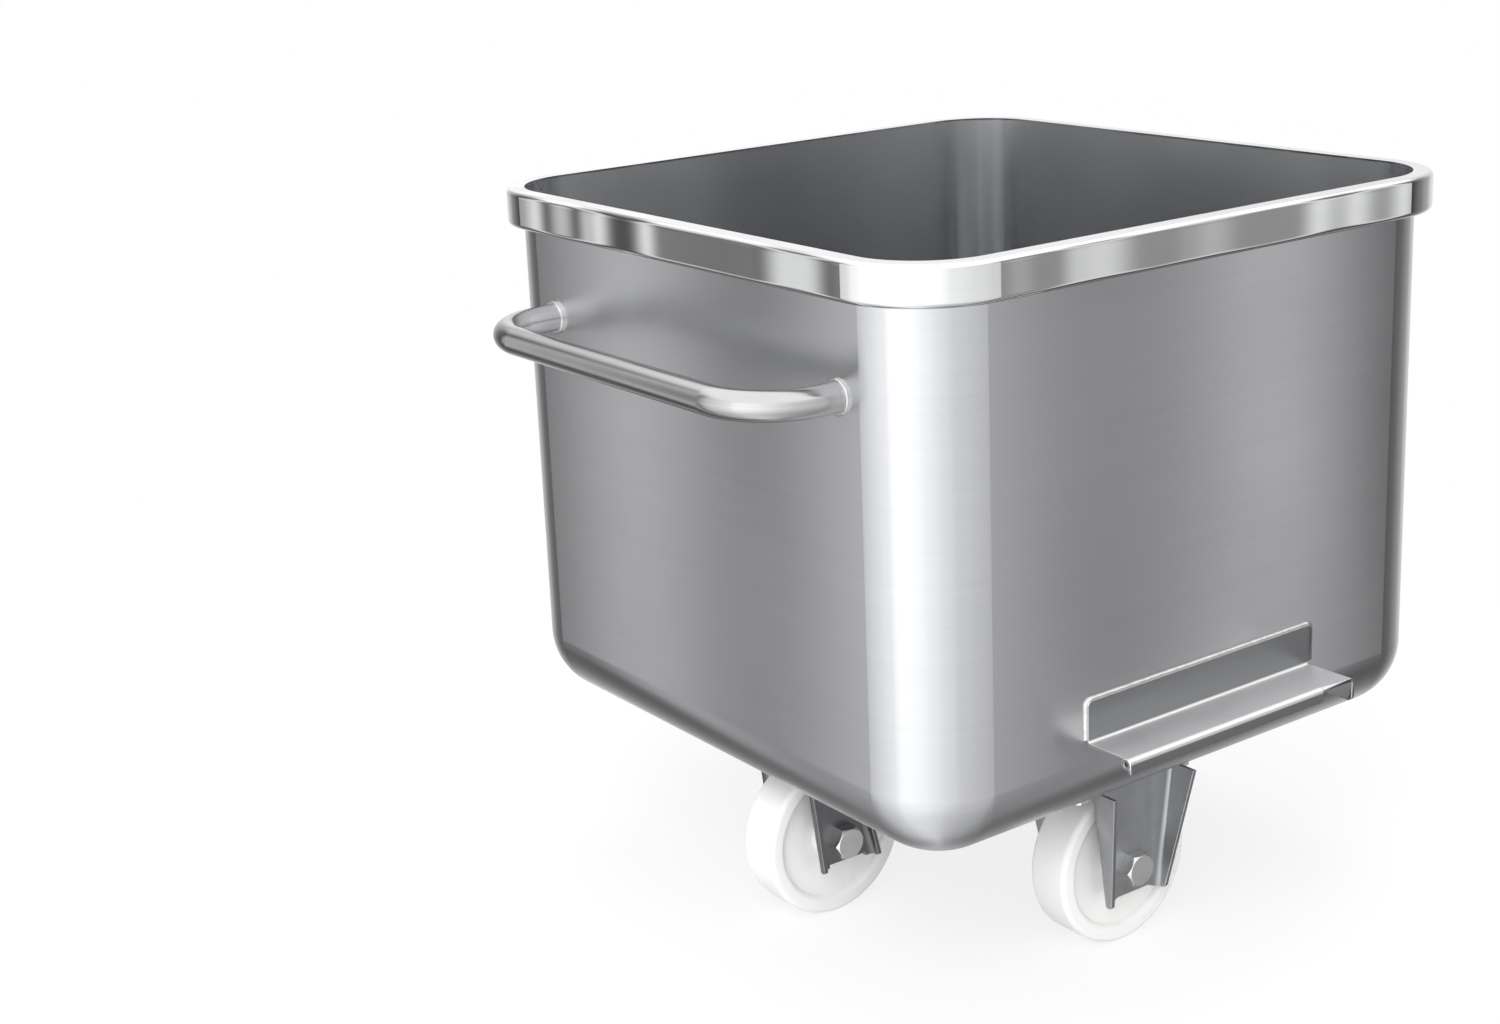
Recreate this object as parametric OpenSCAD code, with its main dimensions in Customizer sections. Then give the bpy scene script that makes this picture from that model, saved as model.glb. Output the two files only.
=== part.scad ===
// Stainless steel trolley bin for a butcher's workroom, all sizes in millimetres.
// A square welded tub with a folded rim, a tube handle and two lifting brackets
// rolls on four castors set in a diamond: fixed ones at the sides, swivel ones at the ends.
// +Z is up, the floor is z = 0, and the handle points to -X.

/* [Tub] */
// Outside width of the rim, the same both ways
rim_w = 680; // [600:5:760]
// Height of the tub from its underside to the top of the rim
tub_h = 528; // [420:4:620]
// How far the rim stands out from the tub wall
rim_reach = 16; // [13:1:24]
// Height of the rim band
rim_h = 36; // [28:1:50]
// Rounding of the rim's outer edges
rim_edge_r = 5; // [3:0.5:6]
// Sheet thickness of the folded rim
rim_sheet = 2; // [1.5:0.5:2.5]
// Corner radius of the tub, outside
corner_r = 74; // [74:1:110]
// Radius between wall and floor, outside
bottom_r = 66; // [50:1:70]
// Sheet thickness of the tub
sheet = 2; // [1.5:0.5:3]

/* [Handle] */
// Outside diameter of the handle tube
handle_d = 27; // [22:0.5:34]
// Wall of the handle tube
handle_wall = 2; // [1.5:0.5:3]
// Distance between the middles of the two ends on the wall
handle_span = 444; // [340:2:460]
// Distance from the wall to the middle of the bar
handle_reach = 82; // [70:1:110]
// Bend radius on the middle line of the tube
handle_bend_r = 66; // [45:1:70]
// Distance from the top of the rim down to the middle of the tube
handle_drop = 120; // [90:1:200]
// How far the weld ring stands out round the tube
collar_w = 2.6; // [2:0.2:5]
// Depth of the weld ring along the tube
collar_h = 3; // [2:0.2:6]

/* [Lifting brackets] */
// Length of a bracket along the wall
bracket_l = 288; // [200:2:400]
// Height of the flange welded to the wall
flange_h = 41; // [32:1:80]
// Depth of the shelf from the wall to its outer face
shelf_w = 54; // [40:1:80]
// Sheet thickness of the bracket
bracket_t = 3; // [2:0.5:4]
// Inside radius of the bracket's bends
bracket_bend = 2.5; // [1:0.5:4]
// Height of the lip that is turned down along the front
lip_h = 13; // [10:0.5:24]
// Length at the far end that has no front lip
lip_gap = 42; // [20:1:80]
// Height of the end flange at the far end
end_far_h = 23; // [14:0.5:34]
// Height of the end flange at the handle end
end_near_h = 9; // [9:0.5:24]
// Diameter of the corner relief between lip and end flange
relief_d = 6; // [4:0.5:8]
// Rounding of the bracket's free corners
bracket_corner = 5; // [3:0.5:5]
// Height of the shelf's underside above the tub's bottom curve
bracket_rise = 16; // [0:0.5:40]

/* [Castors] */
// Diameter of a wheel
wheel_d = 160; // [140:1:180]
// Width of a wheel's tread
wheel_w = 45; // [36:1:50]
// Rounding of the tread's edges
tread_edge_r = 5; // [3:0.5:8]
// Thickness of the wheel's rim, from tread to recess
wheel_rim = 17; // [12:0.5:22]
// Depth of the recess in the side of a wheel
recess = 7; // [4:0.5:10]
// Length of the wheel hub
hub_l = 56; // [52:0.5:64]
// Outside diameter of the wheel hub
hub_d = 50; // [46:1:60]
// Diameter of the roller bearing in the hub
bearing_d = 34; // [32:0.5:40]
// Diameter of the axle sleeve
sleeve_d = 24; // [22:0.5:28]
// Diameter of the axle bolt
axle_d = 20; // [14:0.5:21]
// Width across the flats of the axle bolt's head and nut
axle_af = 30; // [26:0.5:32]
// Height of the axle bolt's head
axle_head_h = 12.5; // [8:0.5:14]
// Height of the axle nut
axle_nut_h = 16; // [8:0.5:18]
// Sheet thickness of forks and castor plates
fork_t = 4; // [3:0.5:5]
// Inside radius of the bends along a fork leg
fork_bend = 5; // [3:0.5:8]
// Width of a fork leg at the axle
leg_w = 68; // [64:1:76]
// How far a fork leg's web reaches below the axle
leg_drop = 22; // [18:0.5:26]
// How far the turned edges reach below the web
leg_tab = 3.5; // [1:0.5:6]
// Depth of a fixed fork's turned edges at the bottom
edge_low = 14; // [13:0.5:18]
// Depth of a fixed fork's turned edges at the top
edge_top = 34; // [26:0.5:40]
// Radius of the flare that widens a fixed fork's turned edges
flare_r = 52; // [36:1:70]
// Height above the axle at which the flare begins
flare_z = 40; // [20:1:44]
// Depth of a swivel fork's turned edges
swivel_edge = 13; // [12.5:0.5:15]
// Outward lean of a fixed fork's edges, in degrees
fixed_lean = 10.5; // [9:0.5:13]
// Lean of a swivel fork's edge on the kingpin's side, in degrees
near_lean = 7.5; // [5:0.5:14]
// Lean of a swivel fork's edge on the trailing side, in degrees
far_lean = 14; // [10:0.5:17]
// Distance that a swivel wheel trails behind its kingpin
trail = 32; // [26:1:36]
// Room between the top of a wheel and a swivel fork's crown
wheel_room = 2.5; // [2.5:0.5:8]
// Height of the ball race between crown and top plate
race_h = 5; // [4.5:0.5:9]
// Radius of the circle that the balls run on
race_r = 28; // [24:0.5:30]
// Number of balls in a race
ball_count = 18; // [10:1:22]
// Diameter of a kingpin
kingpin_d = 16; // [12:0.5:20]
// Thickness of the pad under the tub that carries a castor
pad_t = 2; // [2:0.5:5]
// Length of a castor plate, across the trolley
plate_l = 144; // [136:1:160]
// Width of a castor plate
plate_w = 108; // [104:1:116]
// Distance between the studs along a castor plate
stud_l = 112; // [110:0.5:116]
// Distance between the studs across a castor plate
stud_w = 66; // [62:0.5:67]
// Diameter of a castor stud
stud_d = 10; // [8:0.5:10]
// Width across the flats of a castor nut
stud_af = 17; // [15:0.5:17]
// Height of a castor nut
stud_nut_h = 8; // [6:0.5:9]
// Distance of a fixed wheel from the middle, sideways
fixed_y = 224; // [200:1:228]
// Distance of the fixed axles behind the middle, towards the handle
fixed_back = 18; // [0:1:40]
// Distance of a swivel kingpin from the middle
swivel_x = 220; // [180:1:224]

/* [Hidden] */
$fn = 64;
// Clearance of parts that turn on each other
run_fit = 0.05;
// Clearance of parts that are pushed together
seat_fit = 0.02;
// Clearance of a bolt or stud in its hole
hole_fit = 0.4;
// Room between a ball and its tracks
ball_room = 0.3;
// Room between a turning hub and its fork leg
hub_room = 1;

tub_w = rim_w - 2 * rim_reach;
straight = tub_w - 2 * corner_r;
wheel_r = wheel_d / 2;
crown_z = wheel_d + wheel_room;
race_z = crown_z + fork_t;
plate_z = race_z + race_h;
pad_z = plate_z + fork_t;
tub_z = pad_z + pad_t;
total_h = tub_z + tub_h;
jacket_h = tub_h - bottom_r - rim_sheet;
handle_z = total_h - handle_drop;
handle_r = handle_d / 2;
// Moves the tub so that the origin lies under the middle of the whole trolley
bin_x = (tub_w / 2 + handle_reach + handle_r - rim_w / 2) / 2;
shelf_z = tub_z + bottom_r + bracket_rise;
bracket_r = bracket_bend + bracket_t;
fork_r = fork_bend + fork_t;
leg_y = hub_l / 2 + hub_room;
fork_y = leg_y + fork_t;
ball_d = race_h - 2 * ball_room;
crown_r = race_r + ball_d / 2 + 8;
lip_t = 2.5;
lip_room = 0.8;
pin_head_r = kingpin_d / 2 + 3;
pin_head_h = 3;

satin = [0.62, 0.63, 0.65];
bright = [0.80, 0.81, 0.83];
zinc = [0.72, 0.72, 0.74];
dark_steel = [0.40, 0.41, 0.43];
nylon = [0.93, 0.93, 0.91];

// Places

// The tub's own middle line, from which every other piece is placed
module at_bin() {
    translate([bin_x, 0, 0]) children();
}

// A fixed castor's wheel centre; side is +1 for left and -1 for right
module at_fixed(side) {
    at_bin() translate([-fixed_back, side * fixed_y, wheel_r]) children();
}

// A swivel castor's kingpin on the floor; end is -1 for rear and +1 for front
module at_kingpin(end) {
    at_bin() translate([end * swivel_x, 0, 0]) children();
}

// A swivel castor's wheel centre
module at_swivel_wheel(end) {
    at_kingpin(end) translate([trail, 0, wheel_r]) children();
}

// Every castor plate in turn, with its length along Y
module at_plates() {
    for (side = [-1, 1]) at_fixed(side) translate([0, 0, -wheel_r]) children();
    for (end = [-1, 1]) at_kingpin(end) children();
}

// The four studs of one plate
module at_studs() {
    for (x = [-1, 1], y = [-1, 1]) translate([x * stud_w / 2, y * stud_l / 2, 0]) children();
}

// Shared shapes

// Carries a profile round the tub: x counts outwards from the corner axes, y is the height
module round_tub() {
    for (turn = [0:90:270]) rotate([0, 0, turn]) {
        translate([straight / 2, straight / 2, 0]) rotate_extrude(angle = 90) children();
        translate([straight / 2, 0, 0]) rotate([90, 0, 0])
            linear_extrude(height = straight, center = true) children();
    }
}

// Quarter ring of bent sheet, in the first quadrant
module bend_2d(inside, thick) {
    intersection() {
        difference() {
            circle(inside + thick);
            circle(inside);
        }
        square(inside + thick);
    }
}

// Rectangle with all four corners rounded
module round_box_2d(w, h, r) {
    translate([r, 0]) square([w - 2 * r, h]);
    translate([0, r]) square([w, h - 2 * r]);
    for (x = [r, w - r], y = [r, h - r]) translate([x, y]) circle(r);
}

// What a rounding takes off a lower right-hand corner that lies at the origin
module corner_waste_2d(r) {
    difference() {
        translate([-r, -1]) square(r + 1);
        translate([-r, r]) circle(r);
    }
}

// Prism with six sides, by its width across the flats
module hex_prism(af, h) {
    cylinder(d = af / cos(30), h = h, $fn = 6);
}

// Tub

module jacket() {
    color(satin) at_bin() translate([0, 0, tub_z]) round_tub()
        translate([corner_r - sheet, bottom_r]) square([sheet, jacket_h]);
}

module pan_profile() {
    flat = corner_r - bottom_r;
    square([flat, sheet]);
    translate([flat, bottom_r]) mirror([0, 1]) bend_2d(bottom_r - sheet, sheet);
}

module base_pan() {
    color(satin) at_bin() translate([0, 0, tub_z]) {
        round_tub() pan_profile();
        translate([-straight / 2, -straight / 2, 0]) cube([straight, straight, sheet]);
    }
}

// Hollow folded section: a lip over the wall's edge and a box outside it
module rim_profile() {
    hollow_r = rim_edge_r - rim_sheet;
    difference() {
        union() {
            translate([-sheet, rim_h - rim_sheet]) square([sheet + rim_edge_r, rim_sheet]);
            square([rim_edge_r, rim_h]);
            round_box_2d(rim_reach, rim_h, rim_edge_r);
        }
        translate([rim_sheet, rim_sheet])
            round_box_2d(rim_reach - 2 * rim_sheet, rim_h - 2 * rim_sheet, hollow_r);
    }
}

module rim_band() {
    color(bright) at_bin() translate([0, 0, total_h - rim_h]) round_tub()
        translate([corner_r, 0]) rim_profile();
}

// Handle

module tube_2d() {
    difference() {
        circle(handle_r);
        circle(handle_r - handle_wall);
    }
}

module handle() {
    stub = handle_reach - handle_bend_r;
    half = handle_span / 2 - handle_bend_r;
    color(zinc) at_bin() translate([-tub_w / 2, 0, handle_z]) {
        for (side = [-1, 1]) {
            translate([0, side * handle_span / 2, 0]) rotate([0, -90, 0])
                linear_extrude(stub) tube_2d();
            translate([-stub, side * half, 0]) rotate([0, 0, 135 - side * 45])
                rotate_extrude(angle = 90) translate([handle_bend_r, 0]) tube_2d();
        }
        translate([-handle_reach, half, 0]) rotate([90, 0, 0]) linear_extrude(2 * half) tube_2d();
    }
}

module handle_collars() {
    inside = handle_r + seat_fit;
    round_r = collar_w / 2;
    color(bright) at_bin() for (side = [-1, 1])
        translate([-tub_w / 2, side * handle_span / 2, handle_z]) rotate([0, -90, 0])
            rotate_extrude() translate([inside, 0]) {
                square([collar_w, collar_h - round_r]);
                square([round_r, collar_h]);
                translate([round_r, collar_h - round_r]) circle(round_r);
            }
}

// Lifting brackets

// Wall flange, bend and shelf; x counts outwards from the wall, y upwards from the shelf's underside
module bracket_profile(lip) {
    translate([0, bracket_r]) square([bracket_t, flange_h - bracket_r]);
    translate([bracket_r, bracket_r]) rotate([0, 0, 180]) bend_2d(bracket_bend, bracket_t);
    translate([bracket_r, 0]) square([shelf_w - bracket_r - (lip ? bracket_r : 0), bracket_t]);
    if (lip) translate([shelf_w, 0]) turned_down(lip_h);
}

// Edge of the shelf that is bent down, ending at x = 0; high is its full outside height
module turned_down(high) {
    translate([-bracket_r, bracket_t - bracket_r]) bend_2d(bracket_bend, bracket_t);
    translate([-bracket_t, bracket_t - high]) square([bracket_t, high - bracket_r]);
}

// Sweeps a bracket profile along the wall from one place to another
module along_wall(from, to) {
    translate([from, 0, 0]) rotate([90, 0, 90]) linear_extrude(to - from) children();
}

// One bracket on the left wall, with its far end towards +X
module bracket_shape() {
    near = -bracket_l / 2;
    far = bracket_l / 2;
    end_w = shelf_w - 2 * bracket_r;
    difference() {
        union() {
            wall_flange();
            along_wall(near + bracket_r, far - lip_gap) bracket_profile(true);
            along_wall(far - lip_gap, far - bracket_r) bracket_profile(false);
            translate([far, shelf_w, 0]) rotate([90, 0, 0])
                linear_extrude(shelf_w - bracket_r) turned_down(end_far_h);
            mirror([1, 0, 0]) translate([-near, shelf_w - bracket_r, 0]) rotate([90, 0, 0])
                linear_extrude(end_w) turned_down(end_near_h);
        }
        translate([near + bracket_r, shelf_w - bracket_r, bracket_t - bracket_r])
            rotate([0, 0, 45]) rotate([0, -90, 0]) cylinder(d = relief_d, h = 4 * bracket_r);
        along_wall(far - 2 * bracket_t, far + bracket_t) translate([shelf_w, bracket_t - end_far_h])
            corner_waste_2d(bracket_corner);
    }
}

// The wall flange alone, which runs the whole length of the bracket and has rounded upper corners
module wall_flange() {
    r = bracket_corner;
    translate([-bracket_l / 2, bracket_t, bracket_r]) rotate([90, 0, 0]) linear_extrude(bracket_t) {
        square([bracket_l, flange_h - bracket_r - r]);
        translate([r, 0]) square([bracket_l - 2 * r, flange_h - bracket_r]);
        for (x = [r, bracket_l - r]) translate([x, flange_h - bracket_r - r]) circle(r);
    }
}

module lift_bracket_left() {
    color(zinc) at_bin() translate([0, tub_w / 2, shelf_z]) bracket_shape();
}

module lift_bracket_right() {
    color(zinc) at_bin() mirror([0, 1, 0]) translate([0, tub_w / 2, shelf_z]) bracket_shape();
}

// Fillet welds round the two ends and the top of each wall flange
module bracket_welds() {
    along = bracket_l / 2 - bracket_corner;
    color(bright) at_bin() for (side = [0, 1]) mirror([0, side, 0])
        translate([0, tub_w / 2, shelf_z]) {
            translate([-along, 0, flange_h]) rotate([90, 0, 90])
                linear_extrude(2 * along) bend_2d(0, bracket_t);
            for (end = [0, 1]) mirror([end, 0, 0]) {
                translate([bracket_l / 2, 0, bracket_r])
                    linear_extrude(flange_h - bracket_r - bracket_corner) bend_2d(0, bracket_t);
                translate([along, 0, flange_h - bracket_corner]) rotate([90, 0, 0]) mirror([0, 0, 1])
                    rotate_extrude(angle = 90) translate([bracket_corner, 0]) bend_2d(0, bracket_t);
            }
        }
}

// Castor seats

module castor_pads() {
    color(satin) at_plates() translate([-plate_w / 2, -plate_l / 2, pad_z])
        cube([plate_w, plate_l, pad_t]);
}

// Studs welded under the pads
module castor_studs() {
    end_z = plate_z - stud_nut_h - stud_d / 5;
    color(zinc) at_plates() at_studs() translate([0, 0, end_z]) cylinder(d = stud_d, h = pad_z - end_z);
}

module castor_nuts() {
    color(zinc) at_plates() at_studs() translate([0, 0, plate_z - stud_nut_h]) difference() {
        rotate([0, 0, 30]) hex_prism(stud_af, stud_nut_h);
        translate([0, 0, -1]) cylinder(d = stud_d + 2 * seat_fit, h = stud_nut_h + 2);
    }
}

// Flat castor plate with its stud holes
module castor_plate() {
    difference() {
        translate([-plate_w / 2, -plate_l / 2, plate_z]) cube([plate_w, plate_l, fork_t]);
        at_studs() translate([0, 0, plate_z - 1]) cylinder(d = stud_d + 2 * hole_fit, h = fork_t + 2);
    }
}

// Forks

// Cross-section of a leg's turned edge, with its outside corner at the origin
module edge_2d(deep) {
    translate([fork_r, fork_r]) rotate([0, 0, 180]) bend_2d(fork_bend, fork_t);
    translate([0, fork_r]) square([fork_t, deep - fork_r]);
    translate([fork_r, 0]) square([fork_t, fork_t]);
}

// Turned edge seen along the axle bolt's side: x is its depth, y its height over the axle
module edge_side_2d(low, deep, top) {
    foot = -leg_drop - leg_tab;
    difference() {
        translate([0, foot]) square([deep, top - foot]);
        if (deep > low) {
            translate([low, foot - 1]) square([deep, flare_z - foot + 1]);
            translate([low + flare_r, flare_z]) circle(flare_r, $fn = 120);
        }
        translate([low, foot]) corner_waste_2d(0.9 * (low - fork_r));
    }
}

// One turned edge along the -X side of a leg, leaning out by an angle towards its top
module turned_edge(lean, low, deep, top) {
    spare = 30;
    intersection() {
        translate([-leg_w / 2, 0, 0]) rotate([0, -lean, 0]) translate([0, 0, -leg_drop - spare])
            linear_extrude(leg_drop + top + 2 * spare) edge_2d(deep);
        translate([-plate_l, 0, 0]) rotate([90, 0, 90]) linear_extrude(2 * plate_l)
            edge_side_2d(low, deep, top);
    }
}

// Half the width of a leg's flat web at a height, up to the middle of the turned edge's flat strip
function web_edge(z, lean) = leg_w / 2 + z * tan(lean) - (fork_r + fork_t / 2) / cos(lean);

// Flat part of a leg between two heights, narrower than the leg by an inset on each side
module leg_web(low, high, lean_near, lean_far, inset) {
    translate([0, fork_t, 0]) rotate([90, 0, 0]) linear_extrude(fork_t) polygon([
        [inset - web_edge(low, lean_near), low],
        [web_edge(low, lean_far) - inset, low],
        [web_edge(high, lean_far) - inset, high],
        [inset - web_edge(high, lean_near), high]
    ]);
}

// Leg with its wheel side at y = 0 and the axle at the origin; the two edges lean by their own angles
module fork_leg(web_top_z, edge_top_z, lean_near, lean_far, low, deep) {
    leg_web(-leg_drop, web_top_z, lean_near, lean_far, 0);
    turned_edge(lean_near, low, deep, edge_top_z);
    mirror([1, 0, 0]) turned_edge(lean_far, low, deep, edge_top_z);
}

module axle_hole() {
    rotate([90, 0, 0]) cylinder(d = axle_d + 2 * hole_fit, h = 4 * fork_y, center = true);
}

// Both legs of a fork, one on each side of the wheel
module leg_pair() {
    for (side = [0, 1]) mirror([0, side, 0]) translate([0, leg_y, 0]) children();
}

// Fixed fork: the castor plate with two straight legs, placed at the wheel centre
module fixed_fork() {
    top = plate_z - wheel_r;
    translate([0, 0, -wheel_r]) castor_plate();
    difference() {
        leg_pair() fork_leg(top, top, fixed_lean, fixed_lean, edge_low, edge_top);
        axle_hole();
    }
}

// Swivel fork: a crown under the ball race with two legs that lean back to the trailing wheel
module swivel_fork() {
    top = race_z - wheel_r;
    edge_end = crown_z - wheel_r - fork_t / 2;
    neck = edge_end - leg_tab;
    crown_end = web_edge(top, -far_lean) - 1.5 * fork_t;
    difference() {
        leg_pair() {
            fork_leg(neck, edge_end, near_lean, -far_lean, swivel_edge, swivel_edge);
            leg_web(neck - fork_t, top, near_lean, -far_lean, fork_t);
        }
        axle_hole();
    }
    translate([-trail, 0, crown_z - wheel_r]) linear_extrude(fork_t) difference() {
        union() {
            translate([0, -fork_y]) square([crown_end + trail, 2 * fork_y]);
            circle(crown_r);
        }
        circle(d = kingpin_d + 2 * run_fit);
    }
    translate([-trail, 0, race_z - wheel_r]) linear_extrude(race_h - lip_room) difference() {
        circle(crown_r);
        circle(crown_r - lip_t);
    }
}

module left_fork() {
    color(dark_steel) at_fixed(1) fixed_fork();
}

module right_fork() {
    color(dark_steel) at_fixed(-1) fixed_fork();
}

module rear_fork() {
    color(dark_steel) at_swivel_wheel(-1) swivel_fork();
}

module front_fork() {
    color(dark_steel) at_swivel_wheel(1) swivel_fork();
}

// Swivel heads

module top_plate(end) {
    color(dark_steel) at_kingpin(end) difference() {
        castor_plate();
        translate([0, 0, plate_z - 1]) cylinder(d = kingpin_d + 2 * seat_fit, h = fork_t + 2);
    }
}

module rear_top_plate() {
    top_plate(-1);
}

module front_top_plate() {
    top_plate(1);
}

// Pin riveted in the top plate, with a flat head that holds the crown up
module kingpin(end) {
    head_z = crown_z - run_fit - pin_head_h;
    color(zinc) at_kingpin(end) translate([0, 0, head_z]) {
        cylinder(r = pin_head_r, h = pin_head_h);
        cylinder(d = kingpin_d, h = pad_z - head_z);
    }
}

module rear_kingpin() {
    kingpin(-1);
}

module front_kingpin() {
    kingpin(1);
}

module race_balls(end) {
    color(bright) at_kingpin(end) for (i = [0:ball_count - 1])
        rotate([0, 0, 360 * i / ball_count]) translate([race_r, 0, race_z + race_h / 2])
            sphere(d = ball_d);
}

module rear_race_balls() {
    race_balls(-1);
}

module front_race_balls() {
    race_balls(1);
}

// Axles, drawn with the bolt's head towards +Y

module axle_bolt() {
    reach = 2 * fork_y + axle_nut_h + fork_t / 2;
    color(zinc) rotate([90, 0, 0]) {
        translate([0, 0, -fork_y]) cylinder(d = axle_d, h = reach);
        translate([0, 0, -fork_y - axle_head_h]) intersection() {
            hex_prism(axle_af, axle_head_h);
            cylinder(d1 = axle_af - 1, d2 = axle_af - 1 + 2 * axle_head_h, h = axle_head_h);
        }
    }
}

module axle_nut() {
    color(zinc) translate([0, -fork_y, 0]) rotate([90, 0, 0]) difference() {
        hex_prism(axle_af, axle_nut_h);
        translate([0, 0, -1]) cylinder(d = axle_d + 2 * seat_fit, h = axle_nut_h + 2);
    }
}

module axle_sleeve() {
    color(zinc) rotate([90, 0, 0]) linear_extrude(2 * leg_y, center = true) difference() {
        circle(d = sleeve_d);
        circle(d = axle_d + 2 * hole_fit);
    }
}

// The visible head of a swivel axle and of the right-hand axle points to -Y
module left_axle_bolt() {
    at_fixed(1) axle_bolt();
}

module left_axle_nut() {
    at_fixed(1) axle_nut();
}

module left_axle_sleeve() {
    at_fixed(1) axle_sleeve();
}

module right_axle_bolt() {
    at_fixed(-1) mirror([0, 1, 0]) axle_bolt();
}

module right_axle_nut() {
    at_fixed(-1) mirror([0, 1, 0]) axle_nut();
}

module right_axle_sleeve() {
    at_fixed(-1) axle_sleeve();
}

module rear_axle_bolt() {
    at_swivel_wheel(-1) mirror([0, 1, 0]) axle_bolt();
}

module rear_axle_nut() {
    at_swivel_wheel(-1) mirror([0, 1, 0]) axle_nut();
}

module rear_axle_sleeve() {
    at_swivel_wheel(-1) axle_sleeve();
}

module front_axle_bolt() {
    at_swivel_wheel(1) mirror([0, 1, 0]) axle_bolt();
}

module front_axle_nut() {
    at_swivel_wheel(1) mirror([0, 1, 0]) axle_nut();
}

module front_axle_sleeve() {
    at_swivel_wheel(1) axle_sleeve();
}

// Wheels

// Moulded wheel: a thick rim, a recessed web on both sides and a long hub
module wheel() {
    bore_r = bearing_d / 2;
    web_w = wheel_w - 2 * recess;
    color(nylon) rotate([90, 0, 0]) rotate_extrude($fn = 120) {
        translate([wheel_r - wheel_rim, -wheel_w / 2]) round_box_2d(wheel_rim, wheel_w, tread_edge_r);
        translate([bore_r, -web_w / 2]) square([wheel_r - wheel_rim / 2 - bore_r, web_w]);
        translate([bore_r, -hub_l / 2]) square([hub_d / 2 - bore_r, hub_l]);
    }
}

// Roller cage pressed into the hub, running on the sleeve
module wheel_bearing() {
    color(dark_steel) rotate([90, 0, 0]) linear_extrude(hub_l, center = true) difference() {
        circle(d = bearing_d - 2 * seat_fit);
        circle(d = sleeve_d + 2 * run_fit);
    }
}

module left_wheel() {
    at_fixed(1) wheel();
}

module left_wheel_bearing() {
    at_fixed(1) wheel_bearing();
}

module right_wheel() {
    at_fixed(-1) wheel();
}

module right_wheel_bearing() {
    at_fixed(-1) wheel_bearing();
}

module rear_wheel() {
    at_swivel_wheel(-1) wheel();
}

module rear_wheel_bearing() {
    at_swivel_wheel(-1) wheel_bearing();
}

module front_wheel() {
    at_swivel_wheel(1) wheel();
}

module front_wheel_bearing() {
    at_swivel_wheel(1) wheel_bearing();
}

jacket();
base_pan();
rim_band();
handle();
handle_collars();
lift_bracket_left();
lift_bracket_right();
bracket_welds();
castor_pads();
castor_studs();
castor_nuts();
left_fork();
left_axle_bolt();
left_axle_nut();
left_axle_sleeve();
left_wheel();
left_wheel_bearing();
right_fork();
right_axle_bolt();
right_axle_nut();
right_axle_sleeve();
right_wheel();
right_wheel_bearing();
rear_top_plate();
rear_kingpin();
rear_race_balls();
rear_fork();
rear_axle_bolt();
rear_axle_nut();
rear_axle_sleeve();
rear_wheel();
rear_wheel_bearing();
front_top_plate();
front_kingpin();
front_race_balls();
front_fork();
front_axle_bolt();
front_axle_nut();
front_axle_sleeve();
front_wheel();
front_wheel_bearing();
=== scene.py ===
import math

import bmesh
import bpy
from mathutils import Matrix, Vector


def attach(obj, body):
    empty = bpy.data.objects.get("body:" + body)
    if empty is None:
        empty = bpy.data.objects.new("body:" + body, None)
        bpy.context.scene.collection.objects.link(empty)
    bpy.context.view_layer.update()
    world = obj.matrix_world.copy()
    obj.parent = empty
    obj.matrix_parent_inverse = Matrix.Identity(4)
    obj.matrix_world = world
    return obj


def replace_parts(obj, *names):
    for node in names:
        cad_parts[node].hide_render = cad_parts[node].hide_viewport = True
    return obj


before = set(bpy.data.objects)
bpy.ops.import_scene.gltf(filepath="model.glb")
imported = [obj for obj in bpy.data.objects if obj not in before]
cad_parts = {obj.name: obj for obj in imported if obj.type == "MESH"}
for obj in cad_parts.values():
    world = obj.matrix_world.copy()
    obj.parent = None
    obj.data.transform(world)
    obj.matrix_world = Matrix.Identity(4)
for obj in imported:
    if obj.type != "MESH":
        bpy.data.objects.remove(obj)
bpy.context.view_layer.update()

# Tub
# The jacket is one wrapped stainless sheet with four rounded corners, butt-welded to a floor pan with rolled
# edges. Seams are dressed flush and the whole tub is ground to a satin finish, with the grain running round
# the walls, which bow out a little between the corners.
TUB_MIDDLE_X = 0.03975
TUB_GREY = (0.60, 0.605, 0.62)
WALL_BOW = 0.008
WALL_HALF = 0.25
SCRATCH_DEPTH = 0.00002
LEVEL_ONLY = (1, 1, 0)


def node(tree, kind, **settings):
    """Adds one shader node.

    Settings name its properties, or its input sockets where it has no such property.
    """
    made = tree.nodes.new("ShaderNode" + kind)
    for name, value in settings.items():
        if hasattr(made, name):
            setattr(made, name, value)
        else:
            made.inputs[name.replace("_", " ")].default_value = value
    return made


def effect(name, inputs, outputs):
    """Starts a shader node group with float inputs and the given outputs.

    Returns its tree, entry and exit.
    """
    tree = bpy.data.node_groups.new(name, "ShaderNodeTree")
    for label, value in inputs.items():
        socket = tree.interface.new_socket(label, in_out="INPUT", socket_type="NodeSocketFloat")
        socket.default_value = value
    for label, kind in outputs.items():
        tree.interface.new_socket(label, in_out="OUTPUT", socket_type="NodeSocket" + kind)
    return tree, tree.nodes.new("NodeGroupInput"), tree.nodes.new("NodeGroupOutput")


def placed(tree, group, **values):
    """Places a node group in a material with its own values."""
    made = tree.nodes.new("ShaderNodeGroup")
    made.node_tree = group
    for label, value in values.items():
        made.inputs[label].default_value = value
    return made


def join(tree, *pairs):
    """Links output and input sockets, given one after the other."""
    for start, end in zip(pairs[::2], pairs[1::2]):
        tree.links.new(start, end)


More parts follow.
